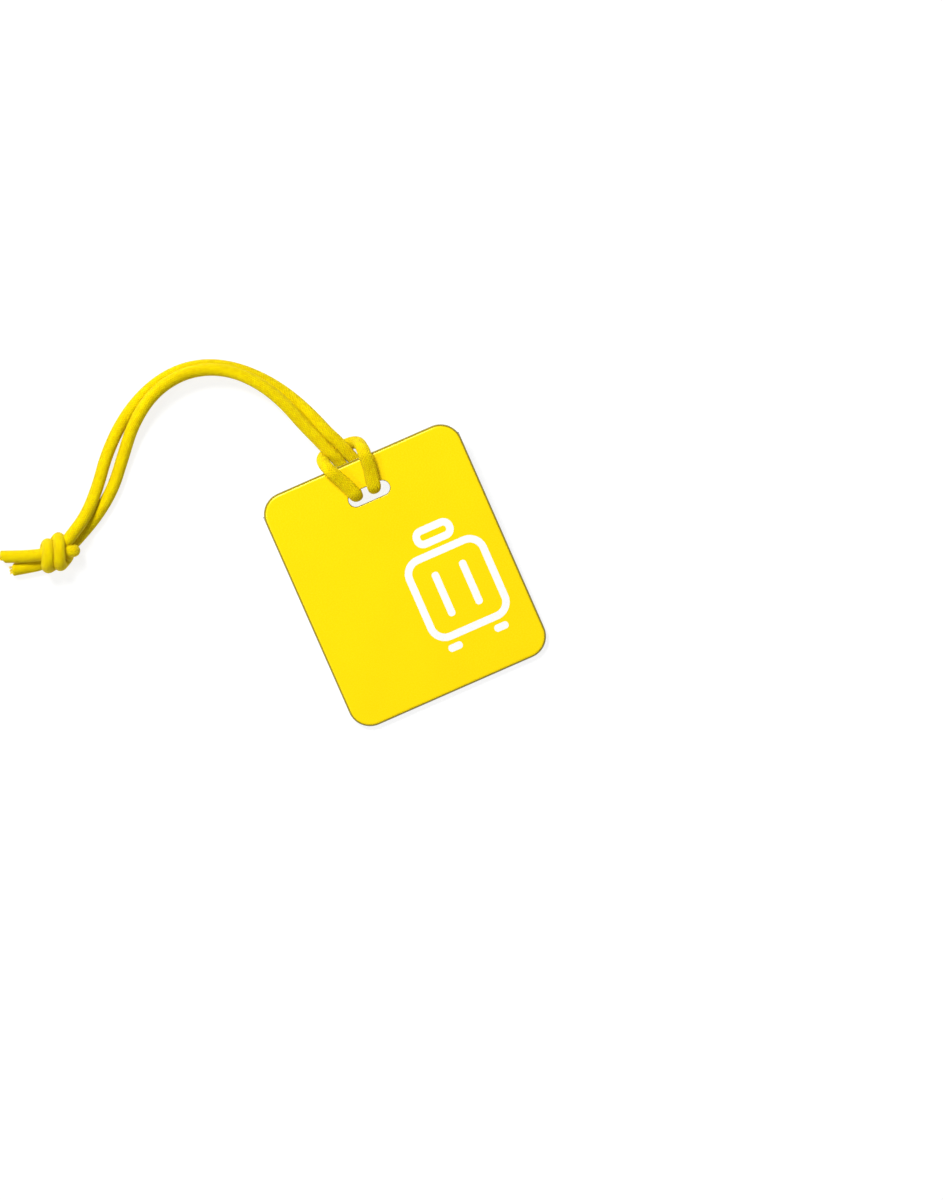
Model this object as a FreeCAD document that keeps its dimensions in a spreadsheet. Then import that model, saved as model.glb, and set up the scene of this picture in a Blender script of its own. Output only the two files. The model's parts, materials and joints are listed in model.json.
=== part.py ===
"""Luggage tag: a soft plastic tag with a card pocket on its back and a braided cord hitched through its slot.

Frame: millimetres, +Z up. The tag lies face up on the plane Z = 0, its width along X and its height along Y,
with the slot end towards +Y. The slot end rides up on the cord, so the whole tag is tilted about X.
The origin is on the plane, below the middle of the tag.
"""

import FreeCAD, Part
import math
import os
import re

import Sketcher
from FreeCAD import Placement, Rotation, Vector

# alias, value, meaning: lengths in millimetres, angles in degrees
DIMENSIONS = [
    ("tag_width", 80, "outer width of the tag"),
    ("tag_height", 95, "outer height of the tag"),
    ("corner_round", 8.5, "radius of the outer corners"),
    ("tag_tilt", 5.4, "slope of the tag, propped up by the cord under its slot end"),
    ("rim_depth", 1.0, "thickness of the clear rim round the pocket"),
    ("backing_thick", 0.4, "thickness of the white backing sheet"),
    ("front_thick", 1.6, "thickness of the coloured front plate"),
    ("front_edge_round", 1.4, "round along the front plate's outer edge"),
    ("slot_edge_round", 0.5, "round along the front plate's slot"),
    ("slot_width", 16.5, "length of the cord slot, across the tag"),
    ("slot_height", 5.6, "width of the cord slot"),
    ("slot_drop", 13.8, "from the top edge to the middle of the slot"),
    ("mouth_drop", 6.0, "from the top edge to the pocket's mouth"),
    ("rim_wide", 3.8, "rim width along the bottom and the -X side"),
    ("rim_narrow", 2.4, "rim width along the +X side"),
    ("rim_bevel", 0.4, "bevel on the rim's outer back edges"),
    ("inner_bevel", 0.2, "bevel on the rim's edges round the window"),
    ("film_thick", 0.4, "thickness of the clear window film"),
    ("film_sink", 0.15, "how far the film lies below the rim's back face"),
    ("lip_height", 1.2, "height of the thick lip along the film's mouth"),
    ("film_slot_gap", 0.4, "extra room round the slot in the film"),
    ("card_thick", 0.3, "thickness of the name card"),
    ("card_sink", 0.62, "from the rim's back face to the card"),
    ("card_side_gap", 0.5, "play of the card at each side of the pocket"),
    ("card_foot_gap", 0.1, "gap between the card and the pocket's bottom wall"),
    ("card_top_gap", 0.3, "from the mouth down to the card's top edge"),
    ("card_slot_width", 18.5, "length of the slot punched in the card"),
    ("card_slot_height", 8.0, "width of the slot punched in the card"),
    ("strip_sink", 0.72, "from the rim's back face to the header strip"),
    ("strip_inset", 1.5, "from the tag's outer edge to the header strip"),
    ("strip_gap", 1.3, "from the mouth up to the header strip"),
    ("strip_round", 2.8, "radius of the header strip's upper corners"),
    ("motif_depth", 0.4, "depth of the white lines let into the front"),
    ("motif_line", 2.8, "width of the white lines"),
    ("motif_middle", 16.0, "from the tag's middle to the middle of the case pictogram"),
    ("motif_foot", 14.0, "from the tag's bottom edge to the pictogram's wheels"),
    ("case_width", 33.0, "width of the pictogram's case"),
    ("case_height", 34.0, "height of the pictogram's case"),
    ("case_round", 7.0, "outer corner radius of the pictogram's case"),
    ("handle_width", 16.0, "width of the pictogram's handle"),
    ("handle_height", 8.0, "height of the pictogram's handle"),
    ("handle_round", 3.8, "outer corner radius of the pictogram's handle"),
    ("motif_gap", 1.6, "gap between the pictogram's separate lines"),
    ("bar_round", 1.26, "corner radius of the pictogram's bars and wheels"),
    ("bar_height", 18.0, "length of the bars on the pictogram's case"),
    ("bar_offset", 5.6, "from the pictogram's middle to a bar's middle"),
    ("wheel_width", 5.6, "width of the pictogram's wheels"),
    ("wheel_offset", 9.4, "from the pictogram's middle to a wheel's middle"),
    ("cord_diameter", 4.8, "diameter of the braided cord"),
    ("knot_length", 14.6, "end knot, along the tails"),
    ("knot_width", 15.2, "end knot, across the tails"),
    ("knot_height", 12.6, "end knot, height"),
    ("knot_round", 4.8, "round on the end knot's edges"),
    ("knot_turn", -23.7, "direction of the end knot's length, from +X about Z"),
    ("knot_x", -115.1, "middle of the end knot, X"),
    ("knot_y", 60.0, "middle of the end knot, Y"),
]

# The cord's route, chosen point by point, in millimetres in the part's own frame.
# Each half starts under the strands in the middle of the band, climbs beside them, turns down over the tag's
# top edge, runs down the front, through the slot and up the back, and passes out over the band again.
HITCH_RIGHT = [
    (-3.4, 53.5, 2.4),
    (1.3, 53.5, 2.4),
    (4.6, 51.7, 5.2),
    (5.0, 50.5, 11.8),
    (4.6, 47.2, 15.3),
    (4.0, 41.6, 14.9),
    (3.2, 36.3, 14.6),
    (2.7, 33.2, 11.4),
    (2.6, 33.5, 6.8),
    (2.3, 37.2, 3.9),
    (1.0, 41.9, 5.0),
    (-0.8, 47.3, 6.3),
    (-2.2, 52.8, 7.6),
    (-3.7, 57.8, 7.6),
]
HITCH_LEFT = [
    (-3.4, 53.5, 2.4),
    (-8.4, 53.5, 2.4),
    (-11.7, 52.0, 5.2),
    (-12.1, 50.6, 11.8),
    (-10.7, 47.3, 15.4),
    (-8.1, 41.8, 14.9),
    (-5.4, 36.3, 14.6),
    (-4.4, 33.2, 11.4),
    (-4.3, 33.5, 6.8),
    (-4.5, 37.2, 3.9),
    (-5.2, 41.9, 5.0),
    (-5.8, 47.3, 6.3),
    (-7.1, 52.2, 7.6),
    (-8.6, 56.6, 7.6),
]
# Past the hitch the two strands sweep out side by side, the inner one lying on the outer one over the crown of
# the curve, and come down to the end knot with the outer one on top.
STRAND_OUTER = [
    (-4.5, 60.3, 7.6),
    (-7.6, 68.4, 6.0),
    (-12.3, 78.6, 3.3),
    (-18.4, 88.0, 2.4),
    (-26.6, 96.6, 2.4),
    (-36.4, 102.6, 2.4),
    (-47.8, 105.0, 2.4),
    (-60.4, 103.0, 2.4),
    (-73.2, 96.6, 2.4),
    (-84.3, 87.0, 2.4),
    (-92.6, 76.6, 3.0),
    (-100.8, 68.4, 6.4),
    (-110.0, 63.2, 8.0),
]
STRAND_INNER = [
    (-9.5, 59.2, 7.6),
    (-12.4, 67.4, 7.4),
    (-15.6, 77.6, 7.3),
    (-20.4, 87.0, 7.2),
    (-27.6, 95.4, 7.2),
    (-36.6, 100.8, 7.2),
    (-47.2, 102.9, 7.2),
    (-59.2, 100.6, 6.9),
    (-70.6, 93.2, 5.0),
    (-79.4, 83.2, 2.5),
    (-87.2, 73.2, 2.4),
    (-96.8, 65.4, 2.4),
    (-107.6, 60.4, 2.4),
]
TAIL_LONG = [
    (-118.0, 60.6, 7.0),
    (-124.0, 62.4, 6.2),
    (-130.2, 64.7, 4.8),
    (-136.2, 67.3, 3.4),
]
TAIL_SHORT = [
    (-118.0, 57.8, 3.0),
    (-123.6, 58.7, 2.4),
    (-129.2, 59.9, 2.4),
    (-134.6, 61.2, 2.4),
]
ARC_SHARE = 0.45
VOLUME_TOLERANCE = 0.01
# A point within this distance of a plane, in millimetres, lies on it.
ON_PLANE = 0.01

doc = FreeCAD.newDocument("luggage_tag")
sheet = doc.addObject("Spreadsheet::Sheet", "sizes")
for row, (alias, value, meaning) in enumerate(DIMENSIONS, start=1):
    sheet.set(f"A{row}", meaning)
    sheet.set(f"B{row}", str(value))
    sheet.setAlias(f"B{row}", alias)
doc.recompute()


def size(expression):
    """The value of an expression in the sheet's names."""
    return float(sheet.evalExpression(expression))


def bound(expression):
    """The same expression as another object's property has to write it."""
    return re.sub("[a-z_]+", lambda word: f"sizes.{word.group()}", expression)


def tag_place():
    """The tilted place of the tag. Its own axes are X across, Y up the tag and Z out of its face, from the
    middle of the bottom edge of its back."""
    tilt = math.radians(size("tag_tilt"))
    lift = size("rim_bevel") * math.sin(tilt)
    middle = size("tag_height") * math.cos(tilt) / 2
    return Placement(Vector(0, -middle, lift), Rotation(Vector(1, 0, 0), size("tag_tilt")))


def new_body(name):
    body = doc.addObject("PartDesign::Body", name)
    body.Label = name
    body.AllowCompound = True
    return body


def new_sketch(body, name, level):
    """A sketch across the tag, level above the tag's back."""
    plane = next(item for item in body.Origin.OriginFeatures if item.Role == "XY_Plane")
    sketch = body.newObject("Sketcher::SketchObject", name)
    sketch.AttachmentSupport = [(plane, "")]
    sketch.MapMode = "FlatFace"
    sketch.setExpression("AttachmentOffset.Base.z", bound(level))
    return sketch


def add_rectangle(sketch, left, right, low, high, foot_round="0", head_round="0"):
    """A rectangle between four edges, with rounded or square corners at its foot and its head."""
    x_low, x_high, y_low, y_high = (size(edge) for edge in (left, right, low, high))
    foot, head = size(foot_round), size(head_round)
    line_ends = [
        (Vector(x_low + foot, y_low, 0), Vector(x_high - foot, y_low, 0)),
        (Vector(x_high, y_low + foot, 0), Vector(x_high, y_high - head, 0)),
        (Vector(x_high - head, y_high, 0), Vector(x_low + head, y_high, 0)),
        (Vector(x_low, y_high - head, 0), Vector(x_low, y_low + foot, 0)),
    ]
    lines = [sketch.addGeometry(Part.LineSegment(*ends), False) for ends in line_ends]
    # each corner lies between two lines: its centre, its radius, and the angle at which its arc starts
    corners = [
        (0, 1, (x_high - foot, y_low + foot), foot_round, 270),
        (1, 2, (x_high - head, y_high - head), head_round, 0),
        (2, 3, (x_low + head, y_high - head), head_round, 90),
        (3, 0, (x_low + foot, y_low + foot), foot_round, 180),
    ]
    add = sketch.addConstraint
    for before, after, (x, y), radius, angle in corners:
        if size(radius) == 0:
            add(Sketcher.Constraint("Coincident", lines[before], 2, lines[after], 1))
            continue
        circle = Part.Circle(Vector(x, y, 0), Vector(0, 0, 1), size(radius))
        start, end = math.radians(angle), math.radians(angle + 90)
        arc = sketch.addGeometry(Part.ArcOfCircle(circle, start, end), False)
        add(Sketcher.Constraint("Tangent", lines[before], 2, arc, 1))
        add(Sketcher.Constraint("Tangent", arc, 2, lines[after], 1))
        bind(sketch, add(Sketcher.Constraint("Radius", arc, size(radius))), radius)
    for line, direction in zip(lines, ("Horizontal", "Vertical", "Horizontal", "Vertical")):
        add(Sketcher.Constraint(direction, line))
    for line, axis, edge in zip(lines, ("Y", "X", "Y", "X"), (low, right, high, left)):
        place = add(Sketcher.Constraint("Distance" + axis, -1, 1, line, 1, size(edge)))
        bind(sketch, place, edge)


def add_slot(sketch, middle, width, height):
    """A slot with round ends across the tag's middle line, its own middle at a height up the tag."""
    radius = f"{height} / 2"
    reach = f"( {width} - {height} ) / 2"
    x, y, r = size(reach), size(middle), size(radius)
    add = sketch.addConstraint
    quarter = math.pi / 2
    right_circle = Part.Circle(Vector(x, y, 0), Vector(0, 0, 1), r)
    left_circle = Part.Circle(Vector(-x, y, 0), Vector(0, 0, 1), r)
    right_end = Part.ArcOfCircle(right_circle, -quarter, quarter)
    left_end = Part.ArcOfCircle(left_circle, quarter, 3 * quarter)
    right = sketch.addGeometry(right_end, False)
    left = sketch.addGeometry(left_end, False)
    top = sketch.addGeometry(Part.LineSegment(Vector(x, y + r, 0), Vector(-x, y + r, 0)), False)
    foot = sketch.addGeometry(Part.LineSegment(Vector(-x, y - r, 0), Vector(x, y - r, 0)), False)
    for before, after in ((right, top), (top, left), (left, foot), (foot, right)):
        add(Sketcher.Constraint("Tangent", before, 2, after, 1))
    add(Sketcher.Constraint("Equal", right, left))
    bind(sketch, add(Sketcher.Constraint("Radius", right, r)), radius)
    bind(sketch, add(Sketcher.Constraint("DistanceX", -1, 1, right, 3, x)), reach)
    bind(sketch, add(Sketcher.Constraint("DistanceX", left, 3, -1, 1, x)), reach)
    bind(sketch, add(Sketcher.Constraint("DistanceY", -1, 1, right, 3, y)), middle)
    bind(sketch, add(Sketcher.Constraint("DistanceY", -1, 1, left, 3, y)), middle)


def bind(sketch, index, expression):
    """Tie a dimension of a sketch to the sheet."""
    sketch.setExpression(f"Constraints[{index}]", bound(expression))


def pad(body, sketch, name, length):
    """Raise a sketch towards the tag's face."""
    feature = body.newObject("PartDesign::Pad", name)
    feature.Profile = sketch
    feature.setExpression("Length", bound(length))
    body.Tip = feature
    doc.recompute()
    return feature


def pocket(body, sketch, name, length, towards_face):
    """Cut a sketch into its body, and stop if nothing comes away."""
    before = body.Shape.Volume
    feature = body.newObject("PartDesign::Pocket", name)
    feature.Profile = sketch
    feature.Reversed = towards_face
    feature.setExpression("Length", bound(length))
    body.Tip = feature
    doc.recompute()
    if body.Shape.Volume >= before:
        raise RuntimeError(f"{name} cuts nothing")
    return feature


def dress(body, kind, name, edges, length):
    """Round or bevel a body's edges: kind is Fillet, sized by its Radius, or Chamfer, sized by its Size."""
    base = body.Tip
    feature = body.newObject(f"PartDesign::{kind}", name)
    feature.Base = (base, edges)
    feature.setExpression("Radius" if kind == "Fillet" else "Size", bound(length))
    body.Tip = feature
    doc.recompute()
    if "Invalid" in feature.State:
        raise RuntimeError(f"{name} failed on {edges}")
    return feature


def edges_where(shape, test):
    """Names of the edges whose every sampled point passes a test."""
    found = []
    for number, edge in enumerate(shape.Edges, start=1):
        points = edge.discretize(5)
        if all(test(point) for point in points):
            found.append(f"Edge{number}")
    return found


def in_slot(point):
    """Is a point on the wall of the cord slot, or nearer its middle?"""
    middle = size("tag_height - slot_drop")
    reach = size("slot_height")
    return abs(point.y - middle) < reach and abs(point.x) < size("slot_width")


# ---- the tag's own pieces, from the back to the front ----

LEFT, RIGHT = "-tag_width / 2", "tag_width / 2"
POCKET_LEFT, POCKET_RIGHT = "rim_wide - tag_width / 2", "tag_width / 2 - rim_narrow"
MOUTH = "tag_height - mouth_drop"
SLOT_MIDDLE = "tag_height - slot_drop"
BACKING_TOP = "rim_depth + backing_thick"
TAG_TOP = "rim_depth + backing_thick + front_thick"


def make_pocket_rim():
    """Clear U-shaped rim: two sides and a bottom, open at the mouth, bevelled outside and inside."""
    body = new_body("pocket_rim")
    outside = new_sketch(body, "rim_outline", "0")
    add_rectangle(outside, LEFT, RIGHT, "0", MOUTH, foot_round="corner_round")
    pad(body, outside, "rim_pad", "rim_depth")
    mouth = size(MOUTH)
    back_edges = edges_where(body.Shape, lambda point: abs(point.z) < ON_PLANE)
    mouth_edges = edges_where(body.Shape, lambda point: point.y > mouth - ON_PLANE)
    outer = [name for name in back_edges if name not in mouth_edges]
    dress(body, "Chamfer", "outer_bevels", outer, "rim_bevel")
    inside = new_sketch(body, "rim_window", "0")
    add_rectangle(inside, POCKET_LEFT, POCKET_RIGHT, "rim_wide", "tag_height")
    pocket(body, inside, "rim_opening", "rim_depth", towards_face=True)
    left, right, foot = size(POCKET_LEFT), size(POCKET_RIGHT), size("rim_wide")

    def on_inner_back_edge(point):
        at_side = abs(point.x - left) < ON_PLANE or abs(point.x - right) < ON_PLANE
        return abs(point.z) < ON_PLANE and (at_side or abs(point.y - foot) < ON_PLANE)

    inner = edges_where(body.Shape, on_inner_back_edge)
    dress(body, "Chamfer", "inner_bevels", inner, "inner_bevel")
    return body


def make_window_film():
    """Clear film over the card, slotted for the cord, with a thicker lip along the pocket's mouth."""
    body = new_body("window_film")
    sheet_outline = new_sketch(body, "film_outline", "film_sink")
    add_rectangle(sheet_outline, POCKET_LEFT, POCKET_RIGHT, "rim_wide", MOUTH)
    add_slot(
        sheet_outline,
        SLOT_MIDDLE,
        "slot_width + 2 * film_slot_gap",
        "slot_height + 2 * film_slot_gap",
    )
    pad(body, sheet_outline, "film_pad", "film_thick")
    lip = new_sketch(body, "lip_outline", "0")
    add_rectangle(lip, POCKET_LEFT, POCKET_RIGHT, f"{MOUTH} - lip_height", MOUTH)
    pad(body, lip, "lip_pad", "film_sink + film_thick")
    return body


def make_name_card():
    """Paper card with square corners, punched with a slot wider than the cord needs."""
    body = new_body("name_card")
    outline = new_sketch(body, "card_outline", "card_sink")
    add_rectangle(
        outline,
        f"{POCKET_LEFT} + card_side_gap",
        f"{POCKET_RIGHT} - card_side_gap",
        "rim_wide + card_foot_gap",
        f"{MOUTH} - card_top_gap",
    )
    add_slot(outline, SLOT_MIDDLE, "card_slot_width", "card_slot_height")
    pad(body, outline, "card_pad", "card_thick")
    return body


def make_header_strip():
    """Frosted strip welded to the backing above the pocket's mouth, with round upper corners."""
    body = new_body("header_strip")
    outline = new_sketch(body, "strip_outline", "strip_sink")
    add_rectangle(
        outline,
        "strip_inset - tag_width / 2",
        "tag_width / 2 - strip_inset",
        f"{MOUTH} + strip_gap",
        "tag_height - strip_inset",
        head_round="strip_round",
    )
    pad(body, outline, "strip_pad", "rim_depth - strip_sink")
    return body


def make_backing_sheet():
    """White sheet behind the front plate: the pocket's inner wall."""
    body = new_body("backing_sheet")
    outline = new_sketch(body, "backing_outline", "rim_depth")
    add_rectangle(outline, LEFT, RIGHT, "0", "tag_height", "corner_round", "corner_round")
    add_slot(outline, SLOT_MIDDLE, "slot_width", "slot_height")
    pad(body, outline, "backing_pad", "backing_thick")
    return body


def motif_sketch(body, level):
    """The travel pictogram: a case with a handle, two bars and two wheels, as separate outlines."""
    sketch = new_sketch(body, body.Name + "_motif", level)
    case_foot = "motif_foot + motif_line + motif_gap"
    case_head = f"{case_foot} + case_height"
    handle_foot = f"{case_head} + motif_gap"
    rings = [
        ("case_width / 2", case_foot, case_head, "case_round"),
        ("handle_width / 2", handle_foot, f"{handle_foot} + handle_height", "handle_round"),
    ]
    for reach, low, high, corner in rings:
        for inset in ("0", "motif_line"):
            add_rectangle(
                sketch,
                f"motif_middle - {reach} + {inset}",
                f"motif_middle + {reach} - {inset}",
                f"{low} + {inset}",
                f"{high} - {inset}",
                f"{corner} - {inset}",
                f"{corner} - {inset}",
            )
    bar_foot = f"{case_foot} + ( case_height - bar_height ) / 2"
    bars = [("bar_offset", "motif_line / 2", bar_foot, f"{bar_foot} + bar_height")]
    wheels = [("wheel_offset", "wheel_width / 2", "motif_foot", "motif_foot + motif_line")]
    for offset, half_width, low, high in bars + wheels:
        for side in ("-", "+"):
            middle = f"motif_middle {side} {offset}"
            add_rectangle(
                sketch,
                f"{middle} - {half_width}",
                f"{middle} + {half_width}",
                low,
                high,
                "bar_round",
                "bar_round",
            )
    return sketch


def make_front_plate():
    """Coloured front plate with the slot, soft outer edges and a recess for the white lines."""
    body = new_body("front_plate")
    outline = new_sketch(body, "front_outline", BACKING_TOP)
    add_rectangle(outline, LEFT, RIGHT, "0", "tag_height", "corner_round", "corner_round")
    add_slot(outline, SLOT_MIDDLE, "slot_width", "slot_height")
    pad(body, outline, "front_pad", "front_thick")
    top = size(TAG_TOP)
    slot_edges = edges_where(body.Shape, lambda point: abs(point.z - top) < ON_PLANE and in_slot(point))
    dress(body, "Fillet", "slot_rounds", slot_edges, "slot_edge_round")
    side, head, corner = size(RIGHT), size("tag_height"), size("corner_round")

    def on_outer_front_edge(point):
        near_side = abs(point.x) > side - corner
        near_end = point.y < ON_PLANE or point.y > head - ON_PLANE
        return abs(point.z - top) < ON_PLANE and (near_side or near_end)

    outer_edges = edges_where(body.Shape, on_outer_front_edge)
    dress(body, "Fillet", "front_rounds", outer_edges, "front_edge_round")
    recess = motif_sketch(body, TAG_TOP)
    pocket(body, recess, "motif_recess", "motif_depth", towards_face=False)
    return body


def make_front_motif():
    """The white lines of the pictogram, let into the front plate and flush with it."""
    body = new_body("front_motif")
    lines = motif_sketch(body, f"{TAG_TOP} - motif_depth")
    pad(body, lines, "motif_pad", "motif_depth")
    return body


# ---- the cord ----


def cord_path(points):
    """Straight runs joined by tangent arcs, each as large as its two runs allow, and the arcs' radii."""
    corners = [Vector(*point) for point in points]
    edges, radii = [], []
    start = corners[0]
    for before, corner, after in zip(corners, corners[1:], corners[2:]):
        run_in, run_out = corner - before, after - corner
        tangent = ARC_SHARE * min(run_in.Length, run_out.Length)
        turn = run_in.getAngle(run_out)
        radius = tangent / math.tan(turn / 2)
        along_in = Vector(run_in).normalize()
        along_out = Vector(run_out).normalize()
        arc_start = corner - along_in * tangent
        arc_end = corner + along_out * tangent
        towards_centre = (along_out - along_in).normalize()
        centre = corner + towards_centre * (radius / math.cos(turn / 2))
        arc_middle = centre - towards_centre * radius
        edges.append(Part.LineSegment(start, arc_start).toShape())
        edges.append(Part.Arc(arc_start, arc_middle, arc_end).toShape())
        radii.append(radius)
        start = arc_end
    edges.append(Part.LineSegment(start, corners[-1]).toShape())
    return Part.Wire(edges), radii


def make_cord(name, points):
    """One stretch of the cord as a plain round tube along its route."""
    path, radii = cord_path(points)
    radius = size("cord_diameter / 2")
    heading = Vector(*points[1]) - Vector(*points[0])
    circle = Part.Wire(Part.makeCircle(radius, Vector(*points[0]), heading))
    tube = path.makePipeShell([circle], True, False)
    expected = math.pi * radius**2 * path.Length
    if abs(tube.Volume - expected) > VOLUME_TOLERANCE * expected:
        raise RuntimeError(f"{name}: the tube's volume is {tube.Volume:.0f}, not {expected:.0f}")
    feature = doc.addObject("Part::Feature", name)
    feature.Label = name
    feature.Shape = tube
    feature.Placement = Placement()
    shown = ", ".join(f"{value:.1f}" for value in radii)
    print(f"{name}: {path.Length:.1f} mm long, radii {shown}")
    return feature


def make_end_knot():
    """The overhand knot that joins the two strands: a rounded block of its outer size on the plane."""
    block = doc.addObject("Part::Box", "knot_block")
    block.setExpression("Length", bound("knot_length"))
    block.setExpression("Width", bound("knot_width"))
    block.setExpression("Height", bound("knot_height"))
    doc.recompute()
    knot = doc.addObject("Part::Fillet", "end_knot")
    knot.Label = "end_knot"
    knot.Base = block
    corner = size("knot_round")
    knot.Edges = [(number, corner, corner) for number in range(1, len(block.Shape.Edges) + 1)]
    turn = Rotation(Vector(0, 0, 1), size("knot_turn"))
    half = Vector(size("knot_length / 2"), size("knot_width / 2"), 0)
    middle = Vector(size("knot_x"), size("knot_y"), 0)
    knot.Placement = Placement(middle - turn.multVec(half), turn)
    return knot


# ---- build, check and write ----

tag_pieces = [
    make_pocket_rim(),
    make_window_film(),
    make_name_card(),
    make_header_strip(),
    make_backing_sheet(),
    make_front_plate(),
    make_front_motif(),
]
for piece in tag_pieces:
    piece.Placement = tag_place()
cord_pieces = [
    make_cord("hitch_right", HITCH_RIGHT),
    make_cord("hitch_left", HITCH_LEFT),
    make_cord("strand_outer", STRAND_OUTER),
    make_cord("strand_inner", STRAND_INNER),
    make_end_knot(),
    make_cord("tail_long", TAIL_LONG),
    make_cord("tail_short", TAIL_SHORT),
]
doc.recompute()

for item in doc.Objects:
    if "Invalid" in item.State or "Error" in item.State:
        raise RuntimeError(f"{item.Label} failed: {item.State}")
pieces = tag_pieces + cord_pieces
for piece in pieces:
    if piece.Shape.isNull() or not piece.Shape.isValid():
        raise RuntimeError(f"{piece.Label} has no valid shape")

os.makedirs("parts", exist_ok=True)
for piece in pieces:
    piece.Shape.exportStep(f"parts/{piece.Label}.step")
    print(f"{piece.Label}: {len(piece.Shape.Solids)} solids, {piece.Shape.Volume:.1f} mm3")
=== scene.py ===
"""Luggage tag: a soft plastic tag, its card pocket, and a braided cord hitched through its slot and knotted.

Lengths are metres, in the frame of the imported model: +X across the tag, +Y up it, +Z out of its face.
"""

import json
import math
import random

import bpy
import numpy as np
from bpy.props import FloatProperty, FloatVectorProperty, IntProperty, PointerProperty
from mathutils import Matrix, Vector


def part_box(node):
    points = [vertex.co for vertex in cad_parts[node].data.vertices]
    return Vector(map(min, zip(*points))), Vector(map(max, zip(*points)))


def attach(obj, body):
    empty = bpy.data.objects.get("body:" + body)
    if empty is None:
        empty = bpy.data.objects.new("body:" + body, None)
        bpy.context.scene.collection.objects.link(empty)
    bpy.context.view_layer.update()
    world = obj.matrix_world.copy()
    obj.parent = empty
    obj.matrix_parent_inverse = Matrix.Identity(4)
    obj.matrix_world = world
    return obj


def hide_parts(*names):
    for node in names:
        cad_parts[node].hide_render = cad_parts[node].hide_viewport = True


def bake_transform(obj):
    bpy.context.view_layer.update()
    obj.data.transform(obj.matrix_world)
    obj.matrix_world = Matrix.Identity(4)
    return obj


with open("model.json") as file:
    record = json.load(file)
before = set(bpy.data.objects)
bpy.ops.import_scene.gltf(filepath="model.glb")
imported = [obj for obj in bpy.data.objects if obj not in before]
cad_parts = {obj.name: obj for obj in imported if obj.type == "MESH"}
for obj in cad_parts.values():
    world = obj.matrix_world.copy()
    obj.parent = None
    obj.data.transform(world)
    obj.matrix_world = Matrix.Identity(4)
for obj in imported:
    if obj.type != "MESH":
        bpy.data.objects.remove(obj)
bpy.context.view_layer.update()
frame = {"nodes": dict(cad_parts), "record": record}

bl_info = {
    "name": "Luggage Tag",
    "version": (1, 0, 0),
    "blender": (4, 5, 0),
    "location": "3D View > Sidebar > Luggage Tag",
    "description": "Builds the looks of a luggage tag round its packed frame",
    "category": "Object",
}

# ---- the cord's route: the points of its two halves, from the middle of the band under the strands ----

HITCH_RIGHT = [
    (-0.0034, 0.0538, 0.0024),
    (0.0008, 0.0539, 0.0024),
    (0.0038, 0.0529, 0.0048),
    (0.0045, 0.0509, 0.0106),
    (0.0044, 0.0468, 0.0147),
    (0.0041, 0.0424, 0.0136),
    (0.0033, 0.0384, 0.0130),
    (0.0026, 0.0341, 0.0126),
    (0.0026, 0.0341, 0.0070),
    (0.0024, 0.0374, 0.0040),
    (0.0014, 0.0419, 0.0050),
    (-0.0001, 0.0473, 0.0063),
    (-0.0019, 0.0528, 0.0076),
    (-0.0038, 0.0578, 0.0076),
]
HITCH_LEFT = [
    (-0.0034, 0.0538, 0.0024),
    (-0.0080, 0.0538, 0.0024),
    (-0.0108, 0.0527, 0.0048),
    (-0.0112, 0.0508, 0.0106),
    (-0.0100, 0.0470, 0.0147),
    (-0.0077, 0.0424, 0.0136),
    (-0.0059, 0.0383, 0.0130),
    (-0.0047, 0.0341, 0.0126),
    (-0.0046, 0.0340, 0.0070),
    (-0.0045, 0.0374, 0.0040),
    (-0.0046, 0.0419, 0.0050),
    (-0.0050, 0.0473, 0.0063),
    (-0.0066, 0.0522, 0.0076),
    (-0.0084, 0.0566, 0.0076),
]
STRAND_OUTER = [
    (-0.0050, 0.0602, 0.0076),
    (-0.0078, 0.0684, 0.0060),
    (-0.0123, 0.0786, 0.0033),
    (-0.0184, 0.0880, 0.0024),
    (-0.0266, 0.0966, 0.0024),
    (-0.0364, 0.1026, 0.0024),
    (-0.0478, 0.1050, 0.0024),
    (-0.0604, 0.1030, 0.0024),
    (-0.0732, 0.0966, 0.0024),
    (-0.0843, 0.0870, 0.0024),
    (-0.0926, 0.0766, 0.0030),
    (-0.1008, 0.0684, 0.0064),
    (-0.1100, 0.0632, 0.0080),
]
STRAND_INNER = [
    (-0.0093, 0.0593, 0.0076),
    (-0.0124, 0.0674, 0.0074),
    (-0.0156, 0.0776, 0.0073),
    (-0.0204, 0.0870, 0.0072),
    (-0.0276, 0.0954, 0.0072),
    (-0.0366, 0.1008, 0.0072),
    (-0.0472, 0.1029, 0.0072),
    (-0.0592, 0.1006, 0.0069),
    (-0.0706, 0.0932, 0.0050),
    (-0.0794, 0.0832, 0.0025),
    (-0.0875, 0.0738, 0.0024),
    (-0.0975, 0.0667, 0.0024),
    (-0.1081, 0.0616, 0.0024),
]
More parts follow.
